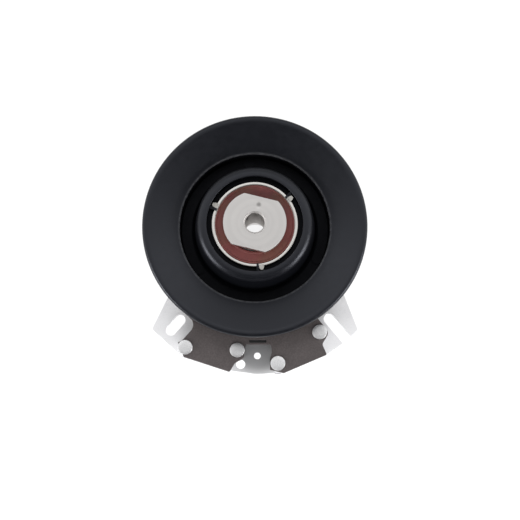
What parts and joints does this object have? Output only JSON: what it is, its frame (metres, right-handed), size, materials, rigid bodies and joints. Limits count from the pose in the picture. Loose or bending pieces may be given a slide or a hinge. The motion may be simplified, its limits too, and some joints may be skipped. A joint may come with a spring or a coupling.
{
  "type": "electric pto clutch",
  "caption": "Electric power take-off clutch and brake: grooved pulley on a keyed hub, slotted rotor, sprung armature, coil field and a slotted anti-rotation bracket.",
  "frame": {"origin": "middle of the footprint at the height of the bracket's rear face, which the clutch rests on; the turning axis is vertical and stands 11.425 mm from it towards +Y", "axes": "+Z along the turning axis, from the field to the pulley; -Y towards the anti-rotation bracket and its brake plate; +X to the right as seen from the pulley with the bracket below"},
  "size_m": [0.162, 0.1848, 0.0765],
  "materials": {
    "pulley_paint": "satin black paint",
    "field_paint": "black electrocoat",
    "race_steel": "ground bearing steel",
    "disc_steel": "turned, satin",
    "plain_steel": "machined",
    "spring_steel": "blued",
    "rivet_steel": "bright plated",
    "zinc": "bright zinc plate",
    "brake_steel": "brown phosphate",
    "seal_rubber": "moulded, matt",
    "friction_material": "moulded lining",
    "bobbin_plastic": "moulded",
    "connector_plastic": "moulded",
    "copper": "enamelled wire",
    "brass": "stamped",
    "cage_steel": "pressed, with polished balls"
  },
  "bodies": {
    "field": {"bracket": "zinc", "field_shell": "field_paint", "coil_bobbin": "bobbin_plastic", "coil_winding": "copper", "coil_connector": "connector_plastic", "connector_terminal_1": "brass", "connector_terminal_2": "brass", "field_bearing_outer_race": "race_steel", "field_bearing_seal_rear": "seal_rubber", "field_bearing_seal_front": "seal_rubber", "field_bearing_clip": "spring_steel", "brake_plate": "brake_steel", "brake_pad_left": "friction_material", "brake_pad_right": "friction_material", "brake_spacer_1": "zinc", "brake_spacer_2": "zinc", "brake_spacer_3": "zinc", "brake_spacer_4": "zinc", "bracket_rivet_1": "rivet_steel", "bracket_rivet_2": "rivet_steel", "bracket_rivet_3": "rivet_steel", "bracket_rivet_4": "rivet_steel"},
    "rotor": {"rotor": "plain_steel", "friction_ring": "friction_material", "drive_hub": "disc_steel", "hub_retaining_ring": "spring_steel", "bearing_spacer": "plain_steel", "field_bearing_inner_race": "race_steel", "pulley_bearing_inner_race": "race_steel"},
    "pulley": {"pulley": "pulley_paint", "pulley_bearing_outer_race": "race_steel", "pulley_bearing_seal_rear": "seal_rubber", "pulley_bearing_seal_front": "seal_rubber", "leaf_spring_1": "spring_steel", "leaf_spring_2": "spring_steel", "leaf_spring_3": "spring_steel", "pulley_rivet_1": "pulley_paint", "pulley_rivet_2": "pulley_paint", "pulley_rivet_3": "pulley_paint"},
    "armature": {"armature": "plain_steel", "armature_rivet_1": "rivet_steel", "armature_rivet_2": "rivet_steel", "armature_rivet_3": "rivet_steel"},
    "field_cage": {"field_bearing_cage": "cage_steel"},
    "pulley_cage": {"pulley_bearing_cage": "cage_steel"}
  },
  "joints": [
    {"name": "rotor_spin", "type": "hinge", "parent": "field", "child": "rotor", "pos_m": [0, 0.01142, 0.0133], "axis": [0, 0, 1], "continuous": true},
    {"name": "pulley_spin", "type": "hinge", "parent": "rotor", "child": "pulley", "pos_m": [0, 0.01142, 0.0634], "axis": [0, 0, 1], "continuous": true},
    {"name": "armature_slide", "type": "slide", "parent": "pulley", "child": "armature", "axis": [0, 0, 1], "range_m": [-0.0004, 0], "stiffness_N_per_m": 40000, "springref_m": 0.001, "deforming": ["leaf_spring_1", "leaf_spring_2", "leaf_spring_3"]},
    {"name": "field_cage_spin", "type": "hinge", "parent": "field", "child": "field_cage", "pos_m": [0, 0.01142, 0.0133], "axis": [0, 0, 1], "continuous": true},
    {"name": "pulley_cage_spin", "type": "hinge", "parent": "rotor", "child": "pulley_cage", "pos_m": [0, 0.01142, 0.0634], "axis": [0, 0, 1], "continuous": true}
  ],
  "couplings": [
    {"joint": "field_cage_spin", "follows": "rotor_spin", "ratio": 0.4109},
    {"joint": "pulley_cage_spin", "follows": "pulley_spin", "ratio": 0.5891}
  ]
}
